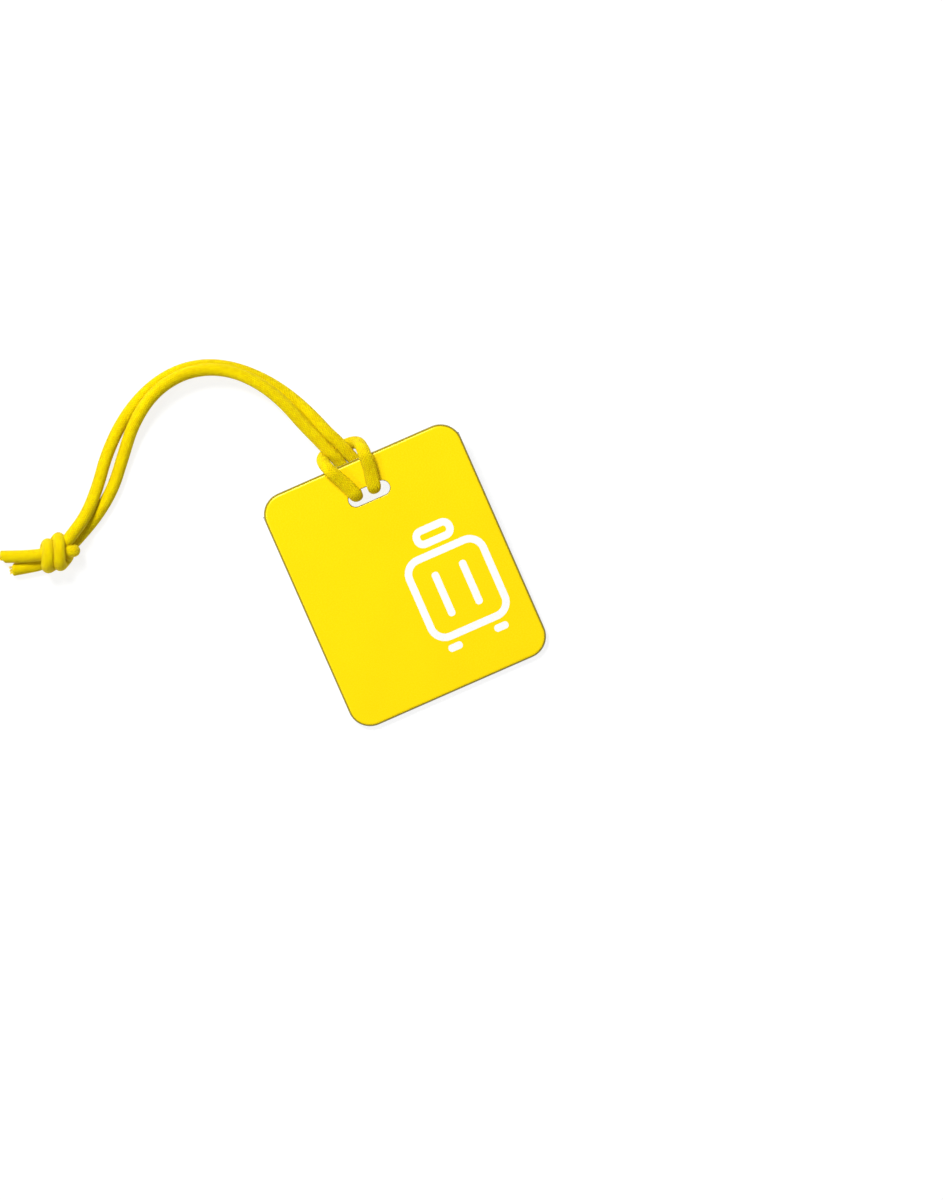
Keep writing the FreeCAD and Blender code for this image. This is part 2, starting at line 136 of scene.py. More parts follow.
# Through the end knot: along its length towards the strands, across it, and up from the surface.
KNOT_OUTER = [
    (0.0010, 0.0018, 0.0074),
    (-0.0030, 0.0006, 0.0058),
    (-0.0056, 0.0008, 0.0036),
    (-0.0051, 0.0028, 0.0034),
    (-0.0042, 0.0028, 0.0086),
    (-0.0042, -0.0008, 0.0112),
    (-0.0047, -0.0053, 0.0094),
    (-0.0043, -0.0059, 0.0044),
    (-0.0010, -0.0030, 0.0023),
    (0.0028, 0.0007, 0.0024),
    (0.0052, 0.0006, 0.0044),
    (0.0052, 0.0004, 0.0080),
    (0.0026, 0.0002, 0.0086),
    (-0.0010, -0.0004, 0.0066),
    (-0.0056, -0.0008, 0.0072),
]
KNOT_INNER = [
    (0.0022, 0.0008, 0.0034),
    (-0.0012, 0.0004, 0.0048),
    (-0.0026, 0.0026, 0.0026),
    (-0.0010, 0.0051, 0.0036),
    (-0.0002, 0.0051, 0.0086),
    (0.0000, 0.0004, 0.0114),
    (-0.0002, -0.0046, 0.0096),
    (0.0002, -0.0050, 0.0044),
    (0.0014, -0.0034, 0.0024),
    (0.0028, -0.0018, 0.0026),
    (0.0030, -0.0014, 0.0050),
    (0.0010, -0.0012, 0.0060),
    (-0.0020, -0.0015, 0.0056),
    (-0.0054, -0.0034, 0.0034),
]
TAIL_LONG = [
    (-0.1240, 0.0624, 0.0062),
    (-0.1302, 0.0647, 0.0048),
    (-0.1362, 0.0673, 0.0034),
]
TAIL_SHORT = [
    (-0.1236, 0.0587, 0.0024),
    (-0.1292, 0.0599, 0.0024),
    (-0.1346, 0.0612, 0.0024),
]

KNOT_MIDDLE = (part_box("end_knot")[0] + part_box("end_knot")[1]) / 2
KNOT_TURN = math.radians(-23.7)
KNOT_ACROSS = (-math.sin(KNOT_TURN), math.cos(KNOT_TURN), 0.0)
KNOT_AXIS_HEIGHT = 0.0062
# The knot's core thins the cord: along the knot to each side of its middle, and round its axis.
KNOT_CORE_HALF = 0.0036
KNOT_CORE_FADE = 0.0020
KNOT_CORE_REACH = 0.0032
KNOT_CORE_FULL = 1.6
KNOT_CORE_SQUEEZE = 0.38
# Where the cord crosses the tag it is pressed flat: wider across, thinner towards the plate.
PRESSED_NEAR = 0.0060
PRESSED_FAR = 0.0240
PRESSED_WIDE = 0.15
PRESSED_THIN = 0.25
# The heights above which the cord gets wider and thinner there, and how gently each starts.
WIDE_ABOVE = 0.0100
THIN_ABOVE = 0.0055
PRESSED_FADE = 0.0030

# ---- the braid, the cut ends and the printing ----

POINTS_ACROSS = 3
POINTS_ALONG = 4
STITCH_CROWN = 2.6
STITCH_TAPER = 4.4
STITCH_TAPER_POWER = 2.2
TONE_SCATTER = (12.9898, 78.233, 437.585)
# The cut end is rounded over this length, down to a least share, and no point of it is thinner than a core.
END_ROUND = 0.0011
END_LEAST = 0.03
END_ROUND_POWER = 2.4
CORE_SHARE = 0.02
END_CAP = 0.0001
SLANT_REACH = 0.0050
LONG_CUT_SLANT = 0.40
SHORT_CUT_SLANT = -0.15
LONG_CUT_YARNS = 34
SHORT_CUT_YARNS = 26
YARN_LEAN = 0.42
YARN_SPREAD = 0.33
YARN_SUNK = 0.0006
YARN_THICK = 0.035
YARN_SIDES = 6
YARN_STEPS = 3
YARN_DRIFT = 0.00018
YARN_RISE = (0.00035, 0.00060)
YARN_TAPER = 0.78
YARN_CROWN = 0.62
# The way the cord's end points is taken over its last few points.
END_POINTS = 8
INK_THICK = 0.00003
FIELD_DROP = 0.0062
FIGURE_GAP = 0.0042
FIGURE_FOOT = -0.0270
HEAD_RADIUS = 0.0011
HEAD_OUT = 0.0016
SHOULDER_RADIUS = 0.0021
SHOULDER_IN = 0.0024

# ---- the stage ----

FLOOR_SIZE = 40.0
FLOOR_GAP = 0.0001
# The surround fades from white at the horizon to its own strength between these two rises.
HORIZON_FADE = (0.05, 0.20)
CAMERA_REACH = 20.0
# Each lamp: where it stands from the aim (across the view, up the view, above), its size and its watts.
LAMPS = (
    ("key", (-0.60, 0.80, 1.20), 0.45, 24.0),
    ("rim", (-1.00, -0.30, 1.15), 0.25, 4.0),
    ("fill", (0.95, -0.20, 0.80), 0.80, 0.5),
)

# ---- settings that a user would change ----


class CordSettings(bpy.types.PropertyGroup):
    """The braided cord."""

    diameter: FloatProperty(
        name="Diameter", description="Thickness of the cord", default=0.0048, subtype="DISTANCE", unit="LENGTH"
    )
    ribs: IntProperty(
        name="Ribs", description="Columns of stitches round the cord, an even number", default=20, min=4
    )
    stitch: FloatProperty(
        name="Stitch", description="Length of one stitch along the cord", default=0.00080,
        subtype="DISTANCE", unit="LENGTH",
    )
    relief: FloatProperty(
        name="Relief", description="Depth of the grooves between stitches", default=0.00020,
        subtype="DISTANCE", unit="LENGTH",
    )
    lay_angle: FloatProperty(
        name="Twist", description="Turn of the braid for each metre of cord", default=math.radians(900),
        subtype="ANGLE", unit="ROTATION",
    )
    yarn: FloatVectorProperty(
        name="Yarn", description="Colour of the yarn", default=(1.0, 0.80, 0.0), subtype="COLOR"
    )
    # Painted shade: the darker colour laid in the grooves between the stitches.
    painted_groove_shade: FloatVectorProperty(
        name="Groove shade", description="Colour between the stitches", default=(0.46, 0.34, 0.0), subtype="COLOR"
    )


class PlasticSettings(bpy.types.PropertyGroup):
    """The tag's plastics."""

    face: FloatVectorProperty(
        name="Face", description="Colour of the front plate", default=(1.0, 0.725, 0.0), subtype="COLOR"
    )
    # Painted shade: the dark colour laid on the front plate's rounded edges and side walls; its faint cloudy
    # mottle also leans a little towards it.
    painted_edge_shade: FloatVectorProperty(
        name="Painted edge shade", description="Colour of the front plate's side walls", default=(0.27, 0.20, 0.0),
        subtype="COLOR",
    )
    motif: FloatVectorProperty(
        name="Pictogram", description="Colour of the pictogram's lines", default=(0.93, 0.93, 0.91),
        subtype="COLOR",
    )
    backing: FloatVectorProperty(
        name="Backing", description="Colour of the backing sheet", default=(0.86, 0.87, 0.87), subtype="COLOR"
    )
    clear: FloatVectorProperty(
        name="Clear", description="Tint of the clear plastics", default=(0.93, 0.95, 0.96), subtype="COLOR"
    )


class CardSettings(bpy.types.PropertyGroup):
    """The name card and what is printed on it."""

    paper: FloatVectorProperty(
        name="Paper", description="Colour of the card", default=(0.88, 0.88, 0.87), subtype="COLOR"
    )
    ink: FloatVectorProperty(
        name="Ink", description="Colour of the printing", default=(0.16, 0.16, 0.17), subtype="COLOR"
    )
    field_length: FloatProperty(
        name="Field length", description="Length of the printed name field", default=0.063,
        subtype="DISTANCE", unit="LENGTH",
    )
    field_width: FloatProperty(
        name="Field width", description="Width of the printed name field", default=0.0152,
        subtype="DISTANCE", unit="LENGTH",
    )
    line: FloatProperty(
        name="Line", description="Width of the printed line", default=0.00035, subtype="DISTANCE", unit="LENGTH"
    )


class StageSettings(bpy.types.PropertyGroup):
    """The floor, the lights and the camera."""

    aim: FloatVectorProperty(
        name="Aim", description="Point that the camera looks at", default=(0.0191, -0.0186, 0.006),
        subtype="TRANSLATION", unit="LENGTH",
    )
    turn: FloatProperty(
        name="Turn", description="Turn of the camera about its own axis", default=KNOT_TURN,
        subtype="ANGLE", unit="ROTATION",
    )
    height: FloatProperty(
        name="Height", description="Height of the camera above the tag", default=3.0,
        subtype="DISTANCE", unit="LENGTH",
    )
    view_height: FloatProperty(
        name="View height", description="Height of what the camera sees", default=0.4506,
        subtype="DISTANCE", unit="LENGTH",
    )
    floor: FloatVectorProperty(
        name="Floor", description="Colour of the floor", default=(0.22, 0.22, 0.22), subtype="COLOR"
    )
    glow: FloatProperty(
        name="Glow", description="Light that comes through the floor from below", default=0.82, min=0.0
    )
    surround: FloatProperty(
        name="Surround", description="Strength of the even light from all round", default=0.28, min=0.0
    )


# ---- modelling helpers ----


def deselect():
    """Nothing is selected, so that an operator acts only on what comes next."""
    if bpy.context.object and bpy.context.object.mode != "OBJECT":
        bpy.ops.object.mode_set(mode="OBJECT")
    bpy.ops.object.select_all(action="DESELECT")


def activate(*objects):
    """These objects are selected, and the first one is active."""
    deselect()
    for item in objects:
        item.select_set(True)
    bpy.context.view_layer.objects.active = objects[0]


def pick_points(piece, test):
    """Select only the points of a mesh in edit mode that pass a test."""
    bpy.ops.object.mode_set(mode="EDIT")
    bpy.ops.mesh.select_mode(type="VERT")
    bpy.ops.mesh.select_all(action="DESELECT")
    bpy.ops.object.mode_set(mode="OBJECT")
    for point in piece.data.vertices:
        point.select = test(point.co)
    bpy.ops.object.mode_set(mode="EDIT")


def joined(pieces, name):
    """One piece made of several, at the origin."""
    activate(*pieces)
    bpy.ops.object.join()
    piece = bpy.context.object
    piece.name = name
    piece.data.name = name
    bpy.ops.object.transform_apply(location=True, rotation=True, scale=True)
    deselect()
    return piece


# ---- materials ----


def new_material(name, **constants):
    """A material with a Principled shader, its constants set on the shader's own sockets."""
    material = bpy.data.materials.new(name)
    material.use_nodes = True
    shader = material.node_tree.nodes["Principled BSDF"]
    for socket, value in constants.items():
        shader.inputs[socket.replace("_", " ")].default_value = value
    return material, material.node_tree, shader


def add_node(tree, kind, settings=None, **inputs):
    """A node with its settings, and its inputs set to values or linked from other nodes' outputs."""
    node = tree.nodes.new(kind)
    for key, value in (settings or {}).items():
        setattr(node, key, value)
    for key, value in inputs.items():
        socket = node.inputs[int(key[1:])] if key[1:].isdigit() else node.inputs[key.replace("_", " ")]
        if isinstance(value, bpy.types.NodeSocket):
            tree.links.new(value, socket)
        else:
            socket.default_value = value
    return node


def object_place(tree):
    """Where a point is on the object, in metres."""
    return tree.nodes.new("ShaderNodeTexCoord").outputs["Object"]


def noise(tree, place, grains_per_metre, detail=2.0):
    """A cloudy pattern from 0 to 1."""
    grains = add_node(tree, "ShaderNodeTexNoise", Vector=place, Scale=grains_per_metre, Detail=detail)
    return grains.outputs["Fac"]


def spread_to(tree, value, low, high, from_low=0.3, from_high=0.7):
    """A value stretched to another range."""
    return add_node(
        tree, "ShaderNodeMapRange", Value=value, From_Min=from_low, From_Max=from_high, To_Min=low, To_Max=high
    ).outputs["Result"]


def mixed(tree, share, first, second):
    """A colour between two colours."""
    node = add_node(tree, "ShaderNodeMix", {"data_type": "RGBA"}, i0=share)
    for socket, value in ((node.inputs[6], first), (node.inputs[7], second)):
        if isinstance(value, bpy.types.NodeSocket):
            tree.links.new(value, socket)
        else:
            socket.default_value = (*value, 1.0)
    return node.outputs[2]


def bump(tree, height, depth, before=None):
    """A surface normal tilted by a pattern of a given depth in metres."""
    node = add_node(tree, "ShaderNodeBump", Height=height, Strength=1.0, Distance=depth)
    if before:
        tree.links.new(before, node.inputs["Normal"])
    return node.outputs["Normal"]


def tag_up():
    """The direction out of the tag's face, from the flat mount on its back."""
    flat = next(mount for mount in frame["record"]["mounts"] if mount["name"] == "pocket_back")
    return -Vector(flat["axis"]).normalized()


def yellow_plastic(settings):
    """Soft plastic of the front plate: satin, finely grained, with painted shade on its rounded edges and side
    walls.
    """
    material, tree, shader = new_material(
        "yellow_plastic", Specular_IOR_Level=0.5, Specular_Tint=(1.0, 0.95, 0.40, 1.0)
    )
    place = object_place(tree)
    clouds = noise(tree, place, 45.0)
    face = mixed(tree, spread_to(tree, clouds, 0.0, 0.05), settings.face, settings.painted_edge_shade)
    normal = tree.nodes.new("ShaderNodeTexCoord").outputs["Normal"]
    facing = add_node(
        tree, "ShaderNodeVectorMath", {"operation": "DOT_PRODUCT"}, i0=normal, i1=tag_up()
    ).outputs["Value"]
    # Painted shade: where the surface turns away from straight out of the face, on the rounded edges and side
    # walls, it takes the dark edge colour.
    side = spread_to(tree, facing, 1.0, 0.0, 0.78, 0.93)
    tree.links.new(mixed(tree, side, face, settings.painted_edge_shade), shader.inputs["Base Color"])
    fine = noise(tree, place, 1500.0, 3.0)
    tree.links.new(spread_to(tree, fine, 0.22, 0.32), shader.inputs["Roughness"])
    ripple = bump(tree, noise(tree, place, 160.0), 0.00001)
    tree.links.new(bump(tree, fine, 0.000004, ripple), shader.inputs["Normal"])
    return material


def white_print(settings):
    """White filled lines of the pictogram: a little chalky, with a faint mottle."""
    material, tree, shader = new_material("white_print", Specular_IOR_Level=0.4)
    place = object_place(tree)
    mottle = noise(tree, place, 900.0, 4.0)
    shade = tuple(0.94 * part for part in settings.motif)
    colour = mixed(tree, spread_to(tree, mottle, 0.0, 1.0), settings.motif, shade)
    tree.links.new(colour, shader.inputs["Base Color"])
    tree.links.new(spread_to(tree, mottle, 0.40, 0.58), shader.inputs["Roughness"])
    tree.links.new(bump(tree, mottle, 0.00001), shader.inputs["Normal"])
    return material


def white_plastic(settings):
    """White backing sheet: matt, with a leathery pressed grain."""
    material, tree, shader = new_material("white_plastic", Specular_IOR_Level=0.35)
    place = object_place(tree)
    cells = add_node(tree, "ShaderNodeTexVoronoi", {"feature": "SMOOTH_F1"}, Vector=place, Scale=1400.0)
    grain = cells.outputs["Distance"]
    shade = tuple(0.95 * part for part in settings.backing)
    tree.links.new(mixed(tree, grain, settings.backing, shade), shader.inputs["Base Color"])
    tree.links.new(spread_to(tree, grain, 0.50, 0.64, 0.0, 1.0), shader.inputs["Roughness"])
    tree.links.new(bump(tree, grain, 0.00002), shader.inputs["Normal"])
    return material


def clear_plastic(settings, name, haze, grains_per_metre, depth, transmission):
    """Clear plastic: haze is its least roughness, and its surface ripples with a given grain and depth."""
    material, tree, shader = new_material(name, IOR=1.47, Transmission_Weight=transmission)
    place = object_place(tree)
    ripple = noise(tree, place, grains_per_metre, 3.0)
    milky = tuple(0.96 * part for part in settings.clear)
    colour = mixed(tree, spread_to(tree, ripple, 0.0, 1.0), settings.clear, milky)
    tree.links.new(colour, shader.inputs["Base Color"])
    tree.links.new(spread_to(tree, ripple, haze, haze + 0.10), shader.inputs["Roughness"])
    tree.links.new(bump(tree, ripple, depth), shader.inputs["Normal"])
    return material


def card_paper(settings):
    """Uncoated card: short fibres and a faint cloudiness."""
    material, tree, shader = new_material("card_paper", Specular_IOR_Level=0.2)
    place = object_place(tree)
    along = add_node(tree, "ShaderNodeMapping", Vector=place, Scale=(1.0, 0.25, 1.0)).outputs["Vector"]
    fibres = noise(tree, along, 2600.0, 5.0)
    clouds = noise(tree, place, 220.0)
    shade = tuple(0.93 * part for part in settings.paper)
    cloudy = mixed(tree, spread_to(tree, clouds, 0.0, 0.5), settings.paper, shade)
    tree.links.new(mixed(tree, spread_to(tree, fibres, 0.0, 0.4), cloudy, shade), shader.inputs["Base Color"])
    tree.links.new(spread_to(tree, fibres, 0.72, 0.86), shader.inputs["Roughness"])
    tree.links.new(bump(tree, fibres, 0.00001), shader.inputs["Normal"])
    return material


def printed_ink(settings):
    """Grey ink, thinner where the paper's fibres take less of it."""
    material, tree, shader = new_material("printed_ink", Specular_IOR_Level=0.3)
    place = object_place(tree)
    patches = noise(tree, place, 3000.0, 3.0)
    pale = tuple(part + 0.10 for part in settings.ink)
    colour = mixed(tree, spread_to(tree, patches, 0.0, 1.0), settings.ink, pale)
    tree.links.new(colour, shader.inputs["Base Color"])
    tree.links.new(spread_to(tree, patches, 0.50, 0.70), shader.inputs["Roughness"])
    return material


def braided_yarn(settings):
    """Braid: bright stitches, painted shade in the grooves between them, a tone for each stitch, and fine
    filaments.
    """
    material, tree, shader = new_material(
        "braided_yarn", Specular_IOR_Level=0.15, Specular_Tint=(1.0, 0.85, 0.25, 1.0),
        Sheen_Weight=0.06, Sheen_Roughness=0.45, Sheen_Tint=(1.0, 0.85, 0.25, 1.0),
    )
    crown = add_node(tree, "ShaderNodeAttribute", {"attribute_name": "crown"}).outputs["Fac"]
    tone = add_node(tree, "ShaderNodeAttribute", {"attribute_name": "tone"}).outputs["Fac"]
    threads = add_node(tree, "ShaderNodeUVMap", {"uv_map": "threads"}).outputs["UV"]
    warm = tuple(part * share for part, share in zip(settings.yarn, (0.90, 0.80, 1.0)))
    yarn = mixed(tree, spread_to(tree, tone, 0.0, 1.0, 0.0, 1.0), settings.yarn, warm)
    # Painted shade: the lower a point lies between the stitches, the more of the groove shade colour it takes.
    depth = spread_to(tree, crown, 1.0, 0.0, 0.02, 0.62)
    tree.links.new(mixed(tree, depth, yarn, settings.painted_groove_shade), shader.inputs["Base Color"])
    filaments = add_node(
        tree, "ShaderNodeTexWave", {"wave_type": "BANDS", "bands_direction": "X"},
        Vector=threads, Scale=5.0, Distortion=1.5, Detail=2.0, Detail_Scale=2.0,
    ).outputs["Fac"]
    tree.links.new(spread_to(tree, filaments, 0.55, 0.75, 0.0, 1.0), shader.inputs["Roughness"])
    tree.links.new(bump(tree, filaments, 0.00004), shader.inputs["Normal"])
    return material


def floor_paper(settings):
    """Pale backdrop lit from below, as on a light table, so that shadows on it are faint."""
    material, tree, shader = new_material(
        "floor_paper", Roughness=0.9, Specular_IOR_Level=0.1, Emission_Strength=settings.glow
    )
    clouds = noise(tree, object_place(tree), 4.0)
    shade = tuple(0.99 * part for part in settings.floor)
    tree.links.new(mixed(tree, clouds, settings.floor, shade), shader.inputs["Base Color"])
    shader.inputs["Emission Color"].default_value = (1.0, 1.0, 1.0, 1.0)
    return material


# ---- the cord ----


def in_knot(along, across, height):
    """A place in the end knot: along the tails, across them and up from the surface."""
    flat = Matrix.Rotation(KNOT_TURN, 3, "Z") @ Vector((along, across, 0.0))
    return (KNOT_MIDDLE.x + flat.x, KNOT_MIDDLE.y + flat.y, height)


def right_route():
    """The half that goes through the slot on the right, along the outer strand and out as the long tail."""
    return HITCH_RIGHT + STRAND_OUTER + [in_knot(*place) for place in KNOT_OUTER] + TAIL_LONG


def left_route():
    """The half that goes through the slot on the left, along the inner strand and out as the short tail."""
    return HITCH_LEFT + STRAND_INNER + [in_knot(*place) for place in KNOT_INNER] + TAIL_SHORT


def smooth_line(route):
    """Points along the smooth spline that a route's points control."""
    curve = bpy.data.curves.new("route", "CURVE")
    curve.dimensions = "3D"
    spline = curve.splines.new("NURBS")
    spline.points.add(len(route) - 1)
    for point, place in zip(spline.points, route):
        point.co = (*place, 1.0)
    spline.order_u = 3
    spline.use_endpoint_u = True
    spline.resolution_u = 24
    holder = bpy.data.objects.new("route", curve)
    mesh = bpy.data.meshes.new_from_object(holder)
    line = np.array([point.co for point in mesh.vertices], float)
    bpy.data.meshes.remove(mesh)
    bpy.data.curves.remove(curve)
    return line


def lengths_along(line):
    """How far along a line each of its points is."""
    steps = np.linalg.norm(np.diff(line, axis=0), axis=1)
    return np.concatenate([[0.0], np.cumsum(steps)])


def evenly(line, step):
    """Points read off a line at an even spacing."""
    along = lengths_along(line)
    wanted = np.linspace(0.0, along[-1], int(along[-1] / step) + 1)
    return np.stack([np.interp(wanted, along, line[:, axis]) for axis in range(3)], axis=1)


def units(vectors):
    """Each vector at unit length."""
    return vectors / np.linalg.norm(vectors, axis=-1, keepdims=True)


def carried_normals(line, tangents):
    """Normals carried along a line from straight up, without any twist of their own."""
    normals = np.zeros_like(line)
    normals[0] = (0.0, 0.0, 1.0)
    for i in range(len(line) - 1):
        step = line[i + 1] - line[i]
        scale = 2.0 / (step @ step)
        normal = normals[i] - scale * (step @ normals[i]) * step
        tangent = tangents[i] - scale * (step @ tangents[i]) * step
        turn = tangents[i + 1] - tangent
        normals[i + 1] = normal - 2.0 / max(turn @ turn, 1e-18) * (turn @ normal) * turn
    return units(normals)


def eased(share):
    """0 to 1 with no corner at either end."""
    share = np.clip(share, 0.0, 1.0)
    return share * share * (3.0 - 2.0 * share)


def squeezed(line, radius):
    """The cord's radius at each point: less where the knot's core presses on it."""
    flat = Matrix.Rotation(-KNOT_TURN, 3, "Z")
    local = (line - np.array(KNOT_MIDDLE)) @ np.array(flat).T
    off_axis = np.hypot(local[:, 1], line[:, 2] - KNOT_AXIS_HEIGHT)
    within = eased((KNOT_CORE_HALF - np.abs(local[:, 0])) / KNOT_CORE_FADE)
    core = within * eased(KNOT_CORE_FULL - off_axis / KNOT_CORE_REACH)
    return radius * (1.0 - KNOT_CORE_SQUEEZE * core)


def flattening(line):
    """How the cord's section is stretched along X, Y and Z at each point where it lies on the tag."""
    slot = next(mount for mount in frame["record"]["mounts"] if mount["name"] == "strap_slot")
    from_slot = np.linalg.norm(line - np.array(slot["pos_m"]), axis=1)
    share = eased((PRESSED_FAR - from_slot) / (PRESSED_FAR - PRESSED_NEAR))
    on_face = eased((line[:, 2] - WIDE_ABOVE) / PRESSED_FADE)
    in_slot = eased((line[:, 2] - THIN_ABOVE) / PRESSED_FADE)
    thin = 1.0 - PRESSED_THIN * share * in_slot
    return np.stack([1.0 + PRESSED_WIDE * share * on_face, thin, thin], axis=1)


def stitches(columns, rows):
    """The braid's relief: slanted rice-grain stitches in columns that lean by turns to each side.

    columns and rows count stitches round and along the cord. Returns each point's height from 0 to 1 and a
    tone for the stitch that it is on.
    """
    column = np.floor(columns)
    leaning = np.where(column % 2 == 0, 1.0, -1.0)
    across = columns - column - 0.5
    shifted = rows + leaning * across + 0.5 * (column % 2)
    row = np.floor(shifted)
    along = shifted - row - 0.5
    crown = np.sqrt(np.clip(1.0 - STITCH_CROWN * across**2, 0.0, 1.0))
    height = crown * (1.0 - STITCH_TAPER * np.abs(along) ** STITCH_TAPER_POWER)
    by_column, by_row, spread = TONE_SCATTER
    tone = np.modf(np.abs(np.sin(column * by_column + row * by_row)) * spread)[0]
    return np.clip(height, 0.0, 1.0), tone


def braided_tube(name, line, side, cut_slant, settings):
    """A closed tube round a line, with the braid's stitches raised on it.

    side is 1 or -1: the halves are mirror images at the middle of the band, so that the braid runs through.
    cut_slant is how much further the cut end reaches for each metre across the knot.
    """
    around = settings.ribs * POINTS_ACROSS
    line = evenly(line, settings.stitch / POINTS_ALONG)
    tangents = units(np.gradient(line, axis=0))
    normals = carried_normals(line, tangents)
    sideways = side * np.cross(tangents, normals)
    along = lengths_along(line)
    turns = np.arange(around) / around
    height, tone = stitches(
        (turns * settings.ribs)[None, :] + np.zeros((len(line), 1)),
        (side * along / settings.stitch)[:, None] + np.zeros((1, around)),
    )
    angle = 2.0 * math.pi * turns[None, :] + (settings.lay_angle * side * along)[:, None]
    radius = squeezed(line, settings.diameter / 2.0)
    left_to_end = along[-1] - along
    to_round = 1.0 - np.clip(left_to_end / END_ROUND, END_LEAST, 1.0)
    radius = radius * np.sqrt(1.0 - to_round**END_ROUND_POWER)
    out = radius[:, None] - settings.relief * (1.0 - height)
    out = np.maximum(out, CORE_SHARE * settings.diameter)
    offsets = (
        (out * np.cos(angle))[..., None] * normals[:, None, :]
        + (out * np.sin(angle))[..., None] * sideways[:, None, :]
    ) * flattening(line)[:, None, :]
    slant = cut_slant * eased(1.0 - left_to_end / SLANT_REACH)
    lag = slant[:, None] * (offsets @ units(np.array(KNOT_ACROSS)))
    points = (line[:, None, :] + offsets + lag[..., None] * tangents[-1]).reshape(-1, 3)
    ends = np.stack([line[0], line[-1] + tangents[-1] * END_CAP])
    points = np.concatenate([points, ends])
    return tube_mesh(name, points, len(line), around, side, along / settings.stitch, height, tone)


def tube_mesh(name, points, rings, around, side, rows, height, tone):
    """The tube's mesh, its stitch attributes and its unrolled UV map."""
    faces, places = [], []
    for i in range(rings - 1):
        for j in range(around):
            corners = [(i, j), (i, j + 1), (i + 1, j + 1), (i + 1, j)]
            if side < 0:
                corners.reverse()
            faces.append([ring * around + turn % around for ring, turn in corners])
            places += [(turn / POINTS_ACROSS, rows[ring]) for ring, turn in corners]
    first_end, last_end = rings * around, rings * around + 1
    for ring, end, flip in ((0, first_end, side > 0), (rings - 1, last_end, side < 0)):
        for j in range(around):
            corners = [ring * around + j, ring * around + (j + 1) % around, end]
            faces.append(corners[::-1] if flip else corners)
            places += [(j / POINTS_ACROSS, rows[ring])] * 3
    mesh = bpy.data.meshes.new(name)
    mesh.from_pydata(points.tolist(), [], faces)
    mesh.uv_layers.new(name="threads").data.foreach_set("uv", np.array(places, np.float32).ravel())
    for label, values in (("crown", height), ("tone", tone)):
        filled = np.concatenate([values.ravel(), [0.5, 0.5]]).astype(np.float32)
        mesh.attributes.new(label, "FLOAT", "POINT").data.foreach_set("value", filled)
    mesh.shade_smooth()
    mesh.update()
    piece = bpy.data.objects.new(name, mesh)
    bpy.context.scene.collection.objects.link(piece)
    return piece


class LUGGAGETAG_OT_cut_ends(bpy.types.Operator):
    """Adds the frayed yarns at the cut ends of the two tails."""

    bl_idname = "luggagetag.cut_ends"
    bl_label = "Cut ends"

    def execute(self, context):
        settings = context.scene.luggage_tag_cord
        draw = random.Random(11)
        yarn = braided_yarn(settings)
        cuts = (
            ("cut_end_long", right_route(), LONG_CUT_YARNS),
            ("cut_end_short", left_route(), SHORT_CUT_YARNS),
        )
        for name, route, count in cuts:
            line = smooth_line(route)
            end = Vector(line[-1])
            forward = Vector(units(line[-1] - line[-END_POINTS]))
            tuft = [self.fibre(settings, draw) for _ in range(count)]
            for fibre in tuft:
                spread = Matrix.Rotation(draw.uniform(0.0, math.tau), 4, "Z")
                lean = Matrix.Rotation(draw.uniform(0.0, YARN_LEAN), 4, "X")
                out = math.sqrt(draw.random()) * YARN_SPREAD * settings.diameter
                shift = Matrix.Translation((0.0, out, -YARN_SUNK))
                point_on = forward.to_track_quat("Z", "Y").to_matrix().to_4x4()
                fibre.data.transform(Matrix.Translation(end) @ point_on @ spread @ shift @ lean)
            piece = joined(tuft, name)
            piece.data.materials.clear()
            piece.data.materials.append(yarn)
            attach(piece, "loop")
        return {"FINISHED"}

    def fibre(self, settings, draw):
        """One yarn that pokes out of the cut, thinner and more bent towards its tip."""
        deselect()
        thick = YARN_THICK * settings.diameter
        bpy.ops.mesh.primitive_circle_add(vertices=YARN_SIDES, radius=thick, fill_type="NGON")
        fibre = bpy.context.object
        bpy.ops.object.mode_set(mode="EDIT")
        bpy.ops.mesh.select_all(action="SELECT")
        drift = draw.uniform(-YARN_DRIFT, YARN_DRIFT)
        for step in range(YARN_STEPS):
            move = (drift, drift * step, draw.uniform(*YARN_RISE))
            bpy.ops.mesh.extrude_region_move(TRANSFORM_OT_translate={"value": move})
            bpy.ops.transform.resize(value=(YARN_TAPER, YARN_TAPER, YARN_TAPER))
        bpy.ops.mesh.select_all(action="SELECT")
        bpy.ops.mesh.normals_make_consistent(inside=False)
        bpy.ops.object.mode_set(mode="OBJECT")
        bpy.ops.object.shade_smooth()
        values = fibre.data.attributes.new("crown", "FLOAT", "POINT")
        values.data.foreach_set("value", [YARN_CROWN] * len(fibre.data.vertices))
        tones = fibre.data.attributes.new("tone", "FLOAT", "POINT")
        tones.data.foreach_set("value", [draw.random()] * len(fibre.data.vertices))
        fibre.data.uv_layers.active.name = "threads"
        return fibre


class LUGGAGETAG_OT_braided_cord(bpy.types.Operator):
    """Adds the cord's two halves, from the band of the hitch through the end knot to the tails."""

    bl_idname = "luggagetag.braided_cord"
    bl_label = "Braided cord"

    def execute(self, context):
        settings = context.scene.luggage_tag_cord
        yarn = bpy.data.materials["braided_yarn"]
        halves = (
            ("cord_right", right_route(), 1, LONG_CUT_SLANT, "cut_end_long",
             ("hitch_right", "strand_outer", "end_knot", "tail_long")),
            ("cord_left", left_route(), -1, SHORT_CUT_SLANT, "cut_end_short",
             ("hitch_left", "strand_inner", "tail_short")),
        )
        for name, route, side, cut_slant, tuft, nodes in halves:
            line = smooth_line(route)
            piece = braided_tube(name, line, side, cut_slant, settings)
            piece.data.materials.append(yarn)
            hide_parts(*nodes)
            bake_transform(piece)
        return {"FINISHED"}


# ---- the card's printing ----


